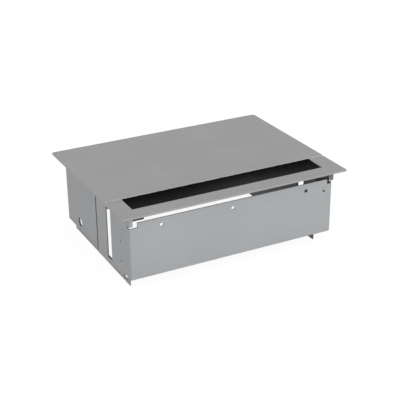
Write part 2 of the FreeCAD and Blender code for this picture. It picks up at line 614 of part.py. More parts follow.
def make_contact_rails():
    """The two stamped rails behind the sockets, with a pair of contact jaws at each hole."""
    for label, sign, side in (("live_rail", "+", ""), ("neutral_rail", "-", "-")):
        rail = new_body(label)
        first = "socket_first %s contact_offset" % sign
        last = first + " + socket_pitch * ( socket_count - 1 )"
        foot = "cup_back - jaw_length"
        base = foot + " + clip_thick"
        near, far = sorted((side + "rail_strip_near", side + "rail_strip_far"), key=number_of)
        strip = box_corners(first + " - jaw_outer", last + " + jaw_outer", near, far)
        pad(rail, "XY", foot, base, [strip])
        low, high = sorted(("-(%sjaw_width / 2)" % side, side + "rail_strip_far"), key=number_of)
        outline = box_corners(first + " - jaw_outer", first + " + jaw_outer", low, high)
        tongue = pad(rail, "XY", foot, base, [outline])
        repeat_along_x(rail, tongue, "socket_pitch", "socket_count")
        for beside in ("-", "+"):
            edges = ["%s %s %s" % (first, beside, reach) for reach in ("jaw_inner", "jaw_outer")]
            one, two = sorted(edges, key=number_of)
            blade = box_corners(one, two, "-jaw_width / 2", "jaw_width / 2")
            jaw = pad(rail, "XY", foot, "cup_back", [blade])
            repeat_along_x(rail, jaw, "socket_pitch", "socket_count")
        tilt(rail)


make_front_wall()
make_rear_wall()
make_left_end_plate()
make_right_end_plate()
make_right_joint_strap()
make_all_rivets()
make_front_strip()
make_brush()
make_hinge()
make_lid()
make_strip_housing()
make_strip_ends()
make_cable_gland()
make_sockets()
make_earth_clips()
make_contact_rails()
doc.recompute()

# Nothing is written unless every object of the document is sound
for item in doc.Objects:
    if "Invalid" in item.State or "Error" in item.State:
        raise RuntimeError("failed object: %s %s" % (item.Label, item.State))
bodies = [item for item in doc.Objects if item.TypeId == "PartDesign::Body"]
for body in bodies:
    if body.Shape.isNull() or not body.Shape.isValid():
        raise RuntimeError("bad shape: " + body.Label)

os.makedirs("parts", exist_ok=True)
for body in bodies:
    body.Shape.exportStep("parts/%s.step" % body.Label)
    box = body.Shape.BoundBox
    print("%-22s %d solids %9.1f mm3  x %.1f %.1f  y %.1f %.1f  z %.1f %.1f" % (
        body.Label, len(body.Shape.Solids), body.Shape.Volume,
        box.XMin, box.XMax, box.YMin, box.YMax, box.ZMin, box.ZMax))
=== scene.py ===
# %% [markdown]
# # A recessed socket box for a table top
# The object is a box of folded, powder-coated steel sheet that hangs in a cut-out of a table. A hinged
# lid covers a strip of sockets, and cables come up through a brush along the front. The construction
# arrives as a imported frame, so this lesson is about what the frame leaves plain: paint, bristles,
# plastic and metal, small turned pieces, and a studio that shows them.

# %% Load the frame and note its size
import bmesh
import bpy
import math
import random
from mathutils import Euler, Matrix, Vector, noise


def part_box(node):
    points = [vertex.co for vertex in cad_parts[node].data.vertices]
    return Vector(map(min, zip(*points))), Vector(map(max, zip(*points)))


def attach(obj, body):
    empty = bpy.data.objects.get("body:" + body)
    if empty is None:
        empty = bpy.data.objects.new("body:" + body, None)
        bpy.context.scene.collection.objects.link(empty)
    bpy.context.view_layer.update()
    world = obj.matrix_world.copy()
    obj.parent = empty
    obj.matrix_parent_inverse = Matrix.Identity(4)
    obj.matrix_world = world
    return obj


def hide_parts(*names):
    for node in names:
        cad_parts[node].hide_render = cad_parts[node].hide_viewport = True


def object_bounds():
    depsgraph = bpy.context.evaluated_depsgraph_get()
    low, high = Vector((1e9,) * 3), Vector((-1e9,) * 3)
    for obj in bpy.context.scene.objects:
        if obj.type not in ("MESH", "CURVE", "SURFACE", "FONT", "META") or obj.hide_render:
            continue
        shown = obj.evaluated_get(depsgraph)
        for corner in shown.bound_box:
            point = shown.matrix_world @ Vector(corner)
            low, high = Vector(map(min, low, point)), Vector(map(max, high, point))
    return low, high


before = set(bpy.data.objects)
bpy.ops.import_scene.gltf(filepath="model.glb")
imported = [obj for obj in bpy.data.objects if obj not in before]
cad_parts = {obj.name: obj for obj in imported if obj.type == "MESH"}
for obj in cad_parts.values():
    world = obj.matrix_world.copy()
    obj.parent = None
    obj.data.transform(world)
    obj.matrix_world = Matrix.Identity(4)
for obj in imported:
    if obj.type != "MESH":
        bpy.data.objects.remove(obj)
cad_low, cad_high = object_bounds()
MM = 0.001
print("box in mm:", [round((b - a) / MM, 1) for a, b in zip(cad_low, cad_high)])

# %% [markdown]
# ## The camera
# A product picture like this is taken from a little above and to the left, with a long lens from more
# than a metre away, so that the box keeps its proportions. A camera can be aimed with a constraint at
# an empty, but the place and the angles below come from matching the straight edges of the top and the
# walls, so it is set by numbers and stays where it is put.

# %% Place the camera
PICTURE_PIXELS = 400
FOCAL_PIXELS = 990
SENSOR_WIDTH = 36
CAMERA_PLACE = Vector((-521.1, -1023.6, 568.8)) * MM
CAMERA_AZIMUTH = 27.235
CAMERA_ELEVATION = 24.695
CAMERA_ROLL = -0.57

camera_data = bpy.data.cameras.new("camera")
camera_data.sensor_width = SENSOR_WIDTH
camera_data.lens = FOCAL_PIXELS / PICTURE_PIXELS * SENSOR_WIDTH
camera = bpy.data.objects.new("camera", camera_data)
bpy.context.scene.collection.objects.link(camera)
aim = Euler((math.radians(90 - CAMERA_ELEVATION), 0, math.radians(-CAMERA_AZIMUTH))).to_matrix()
camera.rotation_euler = (aim @ Matrix.Rotation(math.radians(CAMERA_ROLL), 3, "Z")).to_euler()
camera.location = CAMERA_PLACE
bpy.context.scene.camera = camera
print("lens", round(camera_data.lens, 1), "mm at", round(CAMERA_PLACE.length, 2), "m")

# %% [markdown]
# ## A node material and its grain
# Every finish on this box starts the same way: object coordinates and a noise at some scale. The tree
# could be clicked together in the shader editor, but a few small functions keep each recipe short.
# Object coordinates are used because every piece sits at the origin, so the grain has its real size on
# all of them.

# %% Material and grain
UNSTRETCHED = (1, 1, 1)


def new_material(name):
    """An empty node material with its principled shader joined to the output."""
    material = bpy.data.materials.new(name)
    material.use_nodes = True
    tree = material.node_tree
    tree.nodes.clear()
    shader = tree.nodes.new("ShaderNodeBsdfPrincipled")
    output = tree.nodes.new("ShaderNodeOutputMaterial")
    tree.links.new(shader.outputs["BSDF"], output.inputs["Surface"])
    return material, tree, shader


def grain(tree, scale, detail, stretch=UNSTRETCHED):
    """A noise on object coordinates, scale in features per metre, stretched along a finish's direction."""
    coordinates = tree.nodes.new("ShaderNodeTexCoord")
    mapping = tree.nodes.new("ShaderNodeMapping")
    mapping.inputs["Scale"].default_value = stretch
    texture = tree.nodes.new("ShaderNodeTexNoise")
    texture.inputs["Scale"].default_value = scale
    texture.inputs["Detail"].default_value = detail
    tree.links.new(coordinates.outputs["Object"], mapping.inputs["Vector"])
    tree.links.new(mapping.outputs["Vector"], texture.inputs["Vector"])
    return texture.outputs["Fac"]


print("material helpers ready")

# %% [markdown]
# ## From noise to colour and roughness
# A ramp turns the noise into colours, and a range turns it into roughness. The noise seldom leaves its
# middle part, so both start and end there: stops at 0 and 1 would leave a finish almost flat.

# %% Ramp and range
NOISE_LOW, NOISE_HIGH = 0.3, 0.7


def ramp(tree, factor, stops):
    """Turn a factor into colours by (place, colour) stops."""
    node = tree.nodes.new("ShaderNodeValToRGB")
    elements = node.color_ramp.elements
    while len(elements) < len(stops):
        elements.new(0.5)
    for element, (place, colour) in zip(elements, stops):
        element.position = place
        element.color = (*colour, 1)
    tree.links.new(factor, node.inputs["Fac"])
    return node.outputs["Color"]


def remap(tree, value, start, end, low, high):
    """Map a value between start and end to the range from low to high."""
    node = tree.nodes.new("ShaderNodeMapRange")
    node.inputs["From Min"].default_value = start
    node.inputs["From Max"].default_value = end
    node.inputs["To Min"].default_value = low
    node.inputs["To Max"].default_value = high
    tree.links.new(value, node.inputs["Value"])
    return node.outputs["Result"]


def spread(tree, factor, low, high):
    """Map a noise factor, which stays near the middle, to a range of values."""
    return remap(tree, factor, NOISE_LOW, NOISE_HIGH, low, high)


print("noise is read from", NOISE_LOW, "to", NOISE_HIGH)

# %% [markdown]
# ## Relief and soft edges
# No real edge is perfectly sharp: a bend, a moulding or a cut has a radius of a few tenths of a
# millimetre that catches the light. Bevelling every edge of the sheets would cost many faces. The Bevel
# node rounds the normal instead, and comparing it with the flat normal gives a mask of the edges. The
# mask is full where the two agree less than a given value, which makes it blurred or crisp.

# %% Bump and edge mask
EDGE_SAMPLES = 6
BLURRED, CRISP = 0.8, 0.97


def bump(tree, shader, height, depth, strength, normal):
    """Raise a height pattern by a depth in metres, on top of another normal."""
    node = tree.nodes.new("ShaderNodeBump")
    node.inputs["Distance"].default_value = depth
    node.inputs["Strength"].default_value = strength
    tree.links.new(height, node.inputs["Height"])
    tree.links.new(normal, node.inputs["Normal"])
    tree.links.new(node.outputs["Normal"], shader.inputs["Normal"])


def soft_edge(tree, radius, agreement=BLURRED):
    """A normal that rounds every edge by a small radius, and a mask that is 1 on those edges."""
    rounded = tree.nodes.new("ShaderNodeBevel")
    rounded.samples = EDGE_SAMPLES
    rounded.inputs["Radius"].default_value = radius
    flat = tree.nodes.new("ShaderNodeNewGeometry")
    dot = tree.nodes.new("ShaderNodeVectorMath")
    dot.operation = "DOT_PRODUCT"
    tree.links.new(rounded.outputs["Normal"], dot.inputs[0])
    tree.links.new(flat.outputs["True Normal"], dot.inputs[1])
    return rounded.outputs["Normal"], remap(tree, dot.outputs["Value"], 1.0, agreement, 0.0, 1.0)


print("edge masks are full below an agreement of", BLURRED, "or", CRISP)

# %% [markdown]
# ## Painted shade on cut edges and in corners
# Cut edges and narrow corners get painted shade: their colour is darkened where shade falls. The edge mask
# above finds the first, and ambient occlusion over a few millimetres the second, so nothing has to be
# painted by hand.

# %% Painted shade
CREVICE_SAMPLES = 8
CREVICE_REACH = 3 * MM
DEEP, OPEN = 0.15, 0.75
WHITE = (1, 1, 1)


def mix_colour(tree, factor, first, second):
    """Blend a colour output towards a fixed colour by a factor."""
    node = tree.nodes.new("ShaderNodeMix")
    node.data_type = "RGBA"
    tree.links.new(factor, node.inputs["Factor"])
    tree.links.new(first, node.inputs["A"])
    node.inputs["B"].default_value = (*second, 1)
    return node.outputs["Result"]


def painted_corner_shade(tree, colour, darkest):
    """Painted shade: darken a colour where another surface stands close to it."""
    shade = tree.nodes.new("ShaderNodeAmbientOcclusion")
    shade.samples = CREVICE_SAMPLES
    shade.inputs["Distance"].default_value = CREVICE_REACH
    level = ramp(tree, shade.outputs["AO"], [(DEEP, (darkest, darkest, darkest)), (OPEN, WHITE)])
    node = tree.nodes.new("ShaderNodeMix")
    node.data_type = "RGBA"
    node.blend_type = "MULTIPLY"
    node.inputs["Factor"].default_value = 1.0
    tree.links.new(colour, node.inputs["A"])
    tree.links.new(level, node.inputs["B"])
    return node.outputs["Result"]


print("corners are darkened over", CREVICE_REACH / MM, "mm")

# %% [markdown]
# ## Painted marks of light and shade
# The lug under the strip is darkened as painted shade, and the lid's front edge gets a band of painted
# highlight. Both are fixed places. The distance from a point gives a round mark, and the distance along one
# axis alone gives a band, so one function does for both and later for the brush's lighter middle and tips.

# %% Mask beside a place
EVERY_WAY = (1, 1, 1)
FROM_SIDE = (1, 0, 0)
FROM_FRONT = (0, 1, 0)


def beside(tree, place, inner, outer, axes):
    """1 close to a place, fading to 0 between two distances from it, measured along the axes only."""
    coordinates = tree.nodes.new("ShaderNodeTexCoord")
    measured = tree.nodes.new("ShaderNodeVectorMath")
    measured.operation = "MULTIPLY"
    measured.inputs[1].default_value = axes
    distance = tree.nodes.new("ShaderNodeVectorMath")
    distance.operation = "DISTANCE"
    distance.inputs[1].default_value = place * Vector(axes)
    tree.links.new(coordinates.outputs["Object"], measured.inputs[0])
    tree.links.new(measured.outputs["Vector"], distance.inputs[0])
    return remap(tree, distance.outputs["Value"], inner, outer, 1.0, 0.0)


print("marks are measured along", EVERY_WAY, FROM_SIDE, "or", FROM_FRONT)

# %% [markdown]
# ## Powder coat
# The sheets are coated with powder that is melted in an oven. It flows into a fine orange peel about a
# millimetre across and is matt with a little sheen. A flat grey would lose both, so the recipe has a
# cloudy tone, a peel bump and a varied roughness, and the masks above for painted shade and highlight.

# %% Recipe of the powder coat
CLOUD_PER_METRE = 14
CLOUD_LOW, CLOUD_HIGH = 0.35, 0.65
SHEEN_PER_METRE = 225
SHEEN_ROUGHNESS = 0.5, 0.62
PEEL_PER_METRE = 900
PEEL_DEPTH = 0.05 * MM
PEEL_STRENGTH = 0.25
PAINT_EDGE_RADIUS = 0.5 * MM


def powder_coat(name, dark, light, edge, darkest, mark=None):
    """Matt powder coat between two close tones, with a painted highlight or shade on edges, painted shade
    in corners, and a painted mark.
    """
    material, tree, shader = new_material(name)
    cloud = ramp(tree, grain(tree, CLOUD_PER_METRE, 5), [(CLOUD_LOW, dark), (CLOUD_HIGH, light)])
    edge_tone, agreement = edge
    normal, mask = soft_edge(tree, PAINT_EDGE_RADIUS, agreement)
    # Painted highlight or painted shade on the edges, and a painted mark of light or shade at a place.
    coat = mix_colour(tree, mask, cloud, edge_tone)
    if mark:
        place, tone = mark
        coat = mix_colour(tree, beside(tree, *place), coat, tone)
    tree.links.new(painted_corner_shade(tree, coat, darkest), shader.inputs["Base Color"])
    sheen = spread(tree, grain(tree, SHEEN_PER_METRE, 4), *SHEEN_ROUGHNESS)
    tree.links.new(sheen, shader.inputs["Roughness"])
    shader.inputs["Metallic"].default_value = 0.1
    shader.inputs["Specular IOR Level"].default_value = 0.4
    bump(tree, shader, grain(tree, PEEL_PER_METRE, 2), PEEL_DEPTH, PEEL_STRENGTH, normal)
    return material


print("powder coat has", PEEL_PER_METRE, "dimples per metre")

# %% [markdown]
# ## The painted parts
# The walls' cut edges are darkened as painted shade. The lid, the front strip and the rivets get a painted
# highlight on their rounded edges. Parts that hang apart in the oven come out a shade apart, so each has
# its own pair of tones; the left plate's darker pair is painted shade.

# %% Paints of the shell, the left plate, the top and the rivets
# Dark cut edges are painted shade; the lighter rounded edges are a painted highlight.
EDGE_PAINTED_SHADE = (0.06, 0.062, 0.064), CRISP
EDGE_PAINTED_HIGHLIGHT = (0.5, 0.5, 0.5), BLURRED
RIVET_PAINTED_HIGHLIGHT = (0.42, 0.425, 0.43), BLURRED
DARK_CORNER, RIVET_CORNER, PALE_CORNER = 0.25, 0.6, 0.9
# Painted shade on the lug under the strip, and a painted highlight along the lid's front edge.
LUG = Vector((137, -101, 84)) * MM
LID_FRONT = Vector(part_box("lid_panel")[0])
LUG_PAINTED_SHADE = (LUG, 4 * MM, 6 * MM, EVERY_WAY), (0.13, 0.132, 0.134)
LID_EDGE_PAINTED_HIGHLIGHT = (LID_FRONT, 0.4 * MM, 1.6 * MM, FROM_FRONT), (0.44, 0.44, 0.44)
SHELL_TONES = (0.318, 0.328, 0.338), (0.336, 0.346, 0.356)
# The left plate has the wall's coat, set darker as painted shade.
SHADED_PLATE_TONES = (0.285, 0.294, 0.303), (0.303, 0.312, 0.321)
LID_TONES = (0.294, 0.294, 0.295), (0.312, 0.312, 0.313)
STRIP_TONES = (0.283, 0.283, 0.284), (0.299, 0.299, 0.300)
SHELL_PAINT = powder_coat("shell_powder_coat", *SHELL_TONES, EDGE_PAINTED_SHADE, DARK_CORNER, LUG_PAINTED_SHADE)
SHADED_PLATE_PAINT = powder_coat("plate_coat_painted_shade", *SHADED_PLATE_TONES, EDGE_PAINTED_SHADE, DARK_CORNER)
LID_PAINT = powder_coat("lid_powder_coat", *LID_TONES, EDGE_PAINTED_HIGHLIGHT, PALE_CORNER, LID_EDGE_PAINTED_HIGHLIGHT)
STRIP_PAINT = powder_coat("strip_powder_coat", *STRIP_TONES, EDGE_PAINTED_HIGHLIGHT, PALE_CORNER)
RIVET_PAINT = powder_coat("rivet_powder_coat", *SHELL_TONES, RIVET_PAINTED_HIGHLIGHT, RIVET_CORNER)
PAINTS = (SHELL_PAINT, SHADED_PLATE_PAINT, LID_PAINT, STRIP_PAINT, RIVET_PAINT)
print("powder coats:", [paint.name for paint in PAINTS])

# %% [markdown]
# ## Moulded plastic
# The socket inserts, the strip's end caps and the brush parts are black plastic, and the lid's buffers
# are rubber. A mould's eroded surface leaves a fine pitted grain, so the black is never one value: the
# pits are duller and a little lighter than the land between them. One noise drives all three.

# %% Black plastic and rubber
EROSION_PER_METRE = 2600
PIT_DEPTH = 0.04 * MM
PIT_STRENGTH = 0.3
PIT_ROUGHNESS = 0.08
MOULD_EDGE_RADIUS = 0.4 * MM


def moulded_plastic(name, dark, light, rough):
    """Black plastic with an eroded mould texture."""
    material, tree, shader = new_material(name)
    pits = grain(tree, EROSION_PER_METRE, 2)
    tone = ramp(tree, pits, [(NOISE_LOW, dark), (NOISE_HIGH, light)])
    tree.links.new(tone, shader.inputs["Base Color"])
    dullness = spread(tree, pits, rough - PIT_ROUGHNESS, rough + PIT_ROUGHNESS)
    tree.links.new(dullness, shader.inputs["Roughness"])
    normal, _ = soft_edge(tree, MOULD_EDGE_RADIUS)
    bump(tree, shader, pits, PIT_DEPTH, PIT_STRENGTH, normal)
    return material


SOCKET_PLASTIC = moulded_plastic("socket_plastic", (0.016, 0.016, 0.017), (0.03, 0.03, 0.031), 0.42)
CAP_PLASTIC = moulded_plastic("cap_plastic", (0.014, 0.014, 0.015), (0.026, 0.026, 0.027), 0.5)
BRUSH_PLASTIC = moulded_plastic("brush_plastic", (0.01, 0.01, 0.011), (0.02, 0.02, 0.021), 0.45)
RUBBER = moulded_plastic("buffer_rubber", (0.02, 0.02, 0.02), (0.035, 0.035, 0.035), 0.75)
print("plastics:", SOCKET_PLASTIC.name, CAP_PLASTIC.name, BRUSH_PLASTIC.name, RUBBER.name)

# %% [markdown]
# ## Bare metals
# Zinc plate has a faint crystal cloudiness, an extrusion shows die lines along its length, and stamped
# brass is polished unevenly. All are metallic shaders, so their look is mostly roughness: the noise goes
# there first, and only a little of it into the colour.

# %% Zinc, nickel, brass and the extruded aluminium
ALONG_X = (0.01, 1, 1)
METAL_DEPTH = 0.02 * MM
METAL_STRENGTH = 0.2
METAL_ROUGHNESS = 0.1
METAL_EDGE_RADIUS = 0.25 * MM


def bare_metal(name, dark, light, rough, scale, stretch=UNSTRETCHED):
    """Metal with a roughness pattern, stretched along a direction where it was drawn or extruded."""
    material, tree, shader = new_material(name)
    pattern = grain(tree, scale, 4, stretch)
    tone = ramp(tree, pattern, [(NOISE_LOW, dark), (NOISE_HIGH, light)])
    tree.links.new(tone, shader.inputs["Base Color"])
    polish = spread(tree, pattern, rough - METAL_ROUGHNESS, rough + METAL_ROUGHNESS)
    tree.links.new(polish, shader.inputs["Roughness"])
    shader.inputs["Metallic"].default_value = 1.0
    normal, _ = soft_edge(tree, METAL_EDGE_RADIUS)
    bump(tree, shader, pattern, METAL_DEPTH, METAL_STRENGTH, normal)
    return material


# Phosphated sheet is darker than the coat; its tone is also set lower as painted shade inside the box.
INNER_STEEL_AND_SHADE = bare_metal("phosphated_sheet_and_shade", (0.07, 0.073, 0.076), (0.12, 0.124, 0.128), 0.55, 260)
# The bore's dark colour is painted shade inside the hole.
RIVET_BORE_SHADE = bare_metal("rivet_bore_painted_shade", (0.02, 0.02, 0.021), (0.05, 0.05, 0.051), 0.6, 900)
ZINC = bare_metal("zinc_plate", (0.48, 0.49, 0.50), (0.58, 0.59, 0.60), 0.38, 700)
NICKEL = bare_metal("nickel_spring", (0.58, 0.57, 0.54), (0.68, 0.67, 0.64), 0.25, 500)
BRASS = bare_metal("stamped_brass", (0.62, 0.43, 0.17), (0.76, 0.55, 0.25), 0.3, 600)
EXTRUSION = bare_metal("anodised_extrusion", (0.46, 0.46, 0.47), (0.55, 0.55, 0.56), 0.5, 900, ALONG_X)
METALS = (INNER_STEEL_AND_SHADE, RIVET_BORE_SHADE, ZINC, NICKEL, BRASS, EXTRUSION)
print("metals:", [metal.name for metal in METALS])

# %% [markdown]
# ## Dressing the frame's own pieces
# The sheets, the hinge and the sockets already have their true shape, so they stay and only get a
# finish. A table from finish to pieces keeps that readable, and the print of what is left over would
# show a piece that was forgotten.

# %% Give every piece its finish
RIVET_NODES = ["left_rivets", "strap_rivets", "partition_front_rivet", "partition_rear_rivet",
               "rail_rivets"]
SOCKET_NODES = ["socket_1", "socket_2", "socket_3", "socket_4"]
FINISHES = [
    (SHELL_PAINT, ["front_wall", "rear_wall", "hinge_rail"]),
    (SHADED_PLATE_PAINT, ["left_end_plate"]),
    (INNER_STEEL_AND_SHADE, ["right_end_plate", "right_joint_strap"]),
    (LID_PAINT, ["lid_panel"]),
    (STRIP_PAINT, ["front_strip", "lid_stiffener"]),
    (ZINC, RIVET_NODES + ["brush_screws", "strip_screws", "hinge_pin"]),
    (BRUSH_PLASTIC, ["brush_bar", "brush_clip_left", "brush_clip_right", "brush_bristles"]),
    (EXTRUSION, ["strip_housing"]),
    (SOCKET_PLASTIC, SOCKET_NODES),
    (CAP_PLASTIC, ["strip_end_cap_left", "strip_end_cap_right", "cable_gland"]),
    (BRASS, ["live_rail", "neutral_rail"]),
    (NICKEL, ["earth_clips"]),
    (RUBBER, ["lid_buffers"]),
]


def dress(node, material):
    """Put one finish on every material slot of a frame piece."""
    mesh_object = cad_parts[node]
    if not mesh_object.material_slots:
        mesh_object.data.materials.append(material)
    for slot in mesh_object.material_slots:
        slot.material = material


dressed = set()
for material, nodes in FINISHES:
    for node in nodes:
        dress(node, material)
        dressed.add(node)
print("dressed", len(dressed), "pieces, left over:", sorted(set(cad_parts) - dressed))

# %% [markdown]
# ## Keeping a new piece
# A new piece needs the same few lines each time: a mesh with its finishes, smooth shading that stays
# sharp at corners, the body that carries it, and the frame pieces that it stands for. One function does
# that, so that no piece is left riding on nothing.

# %% Make a piece of a shape
SHARP_ANGLE = math.radians(40)


def keep(name, shape, materials, replaced=()):
    """Turn a shape into a piece that rides on the box and stands for the frame pieces named."""
    mesh = bpy.data.meshes.new(name)
    shape.to_mesh(mesh)
    shape.free()
    for material in materials:
        mesh.materials.append(material)
    mesh.shade_smooth()
    mesh.set_sharp_from_angle(angle=SHARP_ANGLE)
    piece = bpy.data.objects.new(name, mesh)
    bpy.context.scene.collection.objects.link(piece)
    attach(piece, "box")
    if replaced:
        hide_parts(*replaced)
    print(name, "has", len(mesh.polygons), "faces")


print("new pieces will ride on the box")

# %% [markdown]
# ## The nylon of the bristles
# Nylon filament is smooth, but thousands of thin ones side by side swallow the light, so the finish is
# dull. The colour changes from filament to filament, so the noise is stretched along the bristles: fine
# across them and slow along them. The middle of the brush is a little lighter grey, and the tips beside
# the lid are darkened as painted shade.

# %% Finish of the bristles
ALONG_Y = (1, 0.02, 1)
STRAND_PER_METRE = 2200
STRAND_TONES = [(NOISE_LOW, (0.007, 0.007, 0.0072)), (NOISE_HIGH, (0.018, 0.018, 0.0183))]
STRAND_ROUGHNESS = 0.6, 0.75
MIDDLE_TONE = (0.032, 0.032, 0.032)
MIDDLE_PLACE = Vector((20, 0, 0)) * MM
MIDDLE_FADE = 10 * MM, 90 * MM
MIDDLE_SHARE = 0.75
# Painted shade: the tips beside the lid are darkened.
TIP_PAINTED_SHADE = (0.001, 0.001, 0.001)
TIP_SHADE_FADE = 22 * MM

NYLON, nylon_tree, nylon_shader = new_material("bristle_nylon")
strands = grain(nylon_tree, STRAND_PER_METRE, 2, ALONG_Y)
near_middle = beside(nylon_tree, MIDDLE_PLACE, *MIDDLE_FADE, FROM_SIDE)
tip_shade_mask = beside(nylon_tree, Vector(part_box("brush_bristles")[1]), 0, TIP_SHADE_FADE, FROM_FRONT)
middle_weight = remap(nylon_tree, near_middle, 0, 1, 0, MIDDLE_SHARE)
lightened = mix_colour(nylon_tree, middle_weight, ramp(nylon_tree, strands, STRAND_TONES), MIDDLE_TONE)
# Painted shade darkens the tips beside the lid.
shaded = mix_colour(nylon_tree, tip_shade_mask, lightened, TIP_PAINTED_SHADE)
nylon_tree.links.new(shaded, nylon_shader.inputs["Base Color"])
dull = spread(nylon_tree, strands, *STRAND_ROUGHNESS)
nylon_tree.links.new(dull, nylon_shader.inputs["Roughness"])
nylon_shader.inputs["Specular IOR Level"].default_value = 0.02
print("bristle finish:", NYLON.name)

# %% [markdown]
# ## The bristle field
# The brush is a dense row of black filaments that lie flat and reach from the bar to the lid's front
# edge. A block with a striped material would look solid from the side and when the lid is open. A
# filament here is a thin three-sided cone, split once so that it can bend, so it has only a few faces
# and thousands of them stay light.

# %% Shape of a filament
BRISTLE_ROOT = -93.8 * MM
BRISTLE_RADIUS = 0.17 * MM
BRISTLE_TAPER = 0.7


def edges_at(verts):
    """The edges at some vertices, each once, in an order that stays from run to run as a set's wouldn't."""
    return list(dict.fromkeys(edge for vert in verts for edge in vert.link_edges))


def grow_filament(shape, x, z, length):
    """One filament from its root in the bar towards the lid, split once so that it can bend."""
    laid = Matrix.Rotation(math.radians(-90), 4, "X")
    place = Matrix.Translation((x, BRISTLE_ROOT + length / 2, z)) @ laid
    made = bmesh.ops.create_cone(shape, cap_ends=True, segments=3, radius1=BRISTLE_RADIUS,
                                 radius2=BRISTLE_RADIUS * BRISTLE_TAPER, depth=length, matrix=place)
    lengthwise = [edge for edge in edges_at(made["verts"]) if edge.calc_length() > length / 2]
    bmesh.ops.subdivide_edges(shape, edges=lengthwise, cuts=1)


print("filaments start at", BRISTLE_ROOT / MM, "mm")

# %% [markdown]
# In a brush like this the filaments are set along the bar tuft by tuft. Each could be grown by itself,
# but `spin` with no angle copies one tuft along the bar in a moment, and the bending below makes the
# copies differ. Both sources of random numbers have a fixed seed, so every run grows the same brush.

# %% Grow the bristles
TUFT_COUNT = 100
TUFT_COLUMNS = 9
BRISTLE_LAYERS = 7
COLUMN_SCATTER = 0.2, 0.8
TUFT_FILL = 0.98
TIP_SCATTER = 0.9 * MM
random.seed(7)
noise.seed_set(7)

field_low, field_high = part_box("brush_bristles")
bristle_length = field_high[1] - BRISTLE_ROOT
tuft_width = (field_high[0] - field_low[0]) / TUFT_COUNT
layer_step = (field_high[2] - field_low[2]) / BRISTLE_LAYERS

bristles = bmesh.new()
for layer in range(BRISTLE_LAYERS):
    for column in range(TUFT_COLUMNS):
        offset = (column + 0.5 * (layer % 2) + random.uniform(*COLUMN_SCATTER)) / TUFT_COLUMNS
        grow_filament(bristles, field_low[0] + offset * tuft_width * TUFT_FILL,
                      field_low[2] + (layer + 0.5) * layer_step,
                      bristle_length - random.uniform(0, TIP_SCATTER))
bmesh.ops.spin(bristles, geom=bristles.verts[:] + bristles.edges[:] + bristles.faces[:], cent=(0, 0, 0),
               axis=(0, 0, 1), dvec=(tuft_width, 0, 0), angle=0, steps=TUFT_COUNT - 1, use_duplicate=True)
print("brush of", TUFT_COUNT, "tufts with", TUFT_COLUMNS * BRISTLE_LAYERS, "filaments each")

# %% [markdown]
# Straight filaments look like a comb. Real ones lean on each other, so the tips stay level with the lid
# while single filaments stray by a few tenths. A slow noise gives the lean, a fine one the straying, and
# both grow from nothing at the root to their full size at the tip.

# %% Bend the bristles
LEAN = Vector((0.9, 0, 0.3)) * MM
STRAY = Vector((0.5, 0.4, 0.25)) * MM
LEAN_PER_METRE = 160
STRAY_PER_METRE = 2400
TIP_RISE = 2.9 * MM

for vert in bristles.verts:
    free = max(0, (vert.co.y - BRISTLE_ROOT) / bristle_length)
    slow = noise.noise_vector(vert.co * LEAN_PER_METRE)
    fine = noise.noise_vector(Vector((vert.co.x, vert.co.z, 0)) * STRAY_PER_METRE)
    vert.co += (slow * LEAN + fine * STRAY) * free + Vector((0, 0, TIP_RISE)) * free ** 2
keep("bristle_field", bristles, [NYLON], ["brush_bristles"])

# %% [markdown]
# ## Turned shapes
# Rivets, screws and socket collars are round. A profile drawn once and spun gives them with few faces.
# Spinning leaves a doubled seam and doubled points on the axis, which are merged before the normals are
# worked out again.

# %% Spin a profile and copy it to its places
TURN_STEPS = 24
WELD = 0.001 * MM


def turned(profile, closed=False):
    """Spin a profile of (radius, height) points in millimetres round Z."""
    shape = bmesh.new()
    points = [shape.verts.new((radius * MM, 0, height * MM)) for radius, height in profile]
    ends = points[1:] + points[:1] if closed else points[1:]
    for first, second in zip(points, ends):
        shape.edges.new((first, second))
    bmesh.ops.spin(shape, geom=shape.verts[:] + shape.edges[:], cent=(0, 0, 0), axis=(0, 0, 1),
                   angle=math.tau, steps=TURN_STEPS, use_merge=True)
    bmesh.ops.remove_doubles(shape, verts=shape.verts, dist=WELD)
    bmesh.ops.recalc_face_normals(shape, faces=shape.faces)
    return shape


def add_copies(target, single, places):
    """Add a copy of one shape to another at each of the places, which are matrices."""
    mesh = bpy.data.meshes.new("single")
    single.to_mesh(mesh)
    single.free()
    for place in places:
        start = len(target.verts)
        target.from_mesh(mesh)
        target.verts.ensure_lookup_table()
        bmesh.ops.transform(target, matrix=place, verts=target.verts[start:])
    bpy.data.meshes.remove(mesh)


print("round shapes have", TURN_STEPS, "sides")

# %% [markdown]
# ## Places of the fasteners
# The frame holds a plain solid for each rivet and screw. A merged copy of its mesh tells where each one
# sits and how long it is, so no place is typed in twice. Walking from vertex to vertex along the edges
# parts the copy into its solids.

# %% Find the solids of a frame piece and the seat of each
def solids_of(node):
    """Lowest and highest corner of each separate solid of a frame piece, in a fixed order."""
    shape = bmesh.new()
    shape.from_mesh(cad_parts[node].data)
    bmesh.ops.remove_doubles(shape, verts=shape.verts, dist=WELD)
    waiting = set(shape.verts)
    corners = []
    while waiting:
        solid = [waiting.pop()]
        for vert in solid:
            near = {edge.other_vert(vert) for edge in vert.link_edges} & waiting
            waiting -= near
            solid.extend(near)
        spans = [[vert.co[axis] for vert in solid] for axis in range(3)]
        corners.append((Vector([min(span) for span in spans]), Vector([max(span) for span in spans])))
    shape.free()
    return sorted(corners, key=lambda pair: tuple(pair[0]))


def seat_of(low, high, outwards, head):
    """A matrix where a fastener's head meets the sheet, with Z outwards, and the length below it."""
    direction = Vector(outwards)
    length = abs((high - low).dot(direction))
    seat = (low + high) / 2 + direction * (length / 2 - head * MM)
    turn = direction.to_track_quat("Z", "Y").to_matrix().to_4x4()
    return Matrix.Translation(seat) @ turn, length / MM - head


print("separate rivets:", sum(len(solids_of(node)) for node in RIVET_NODES))
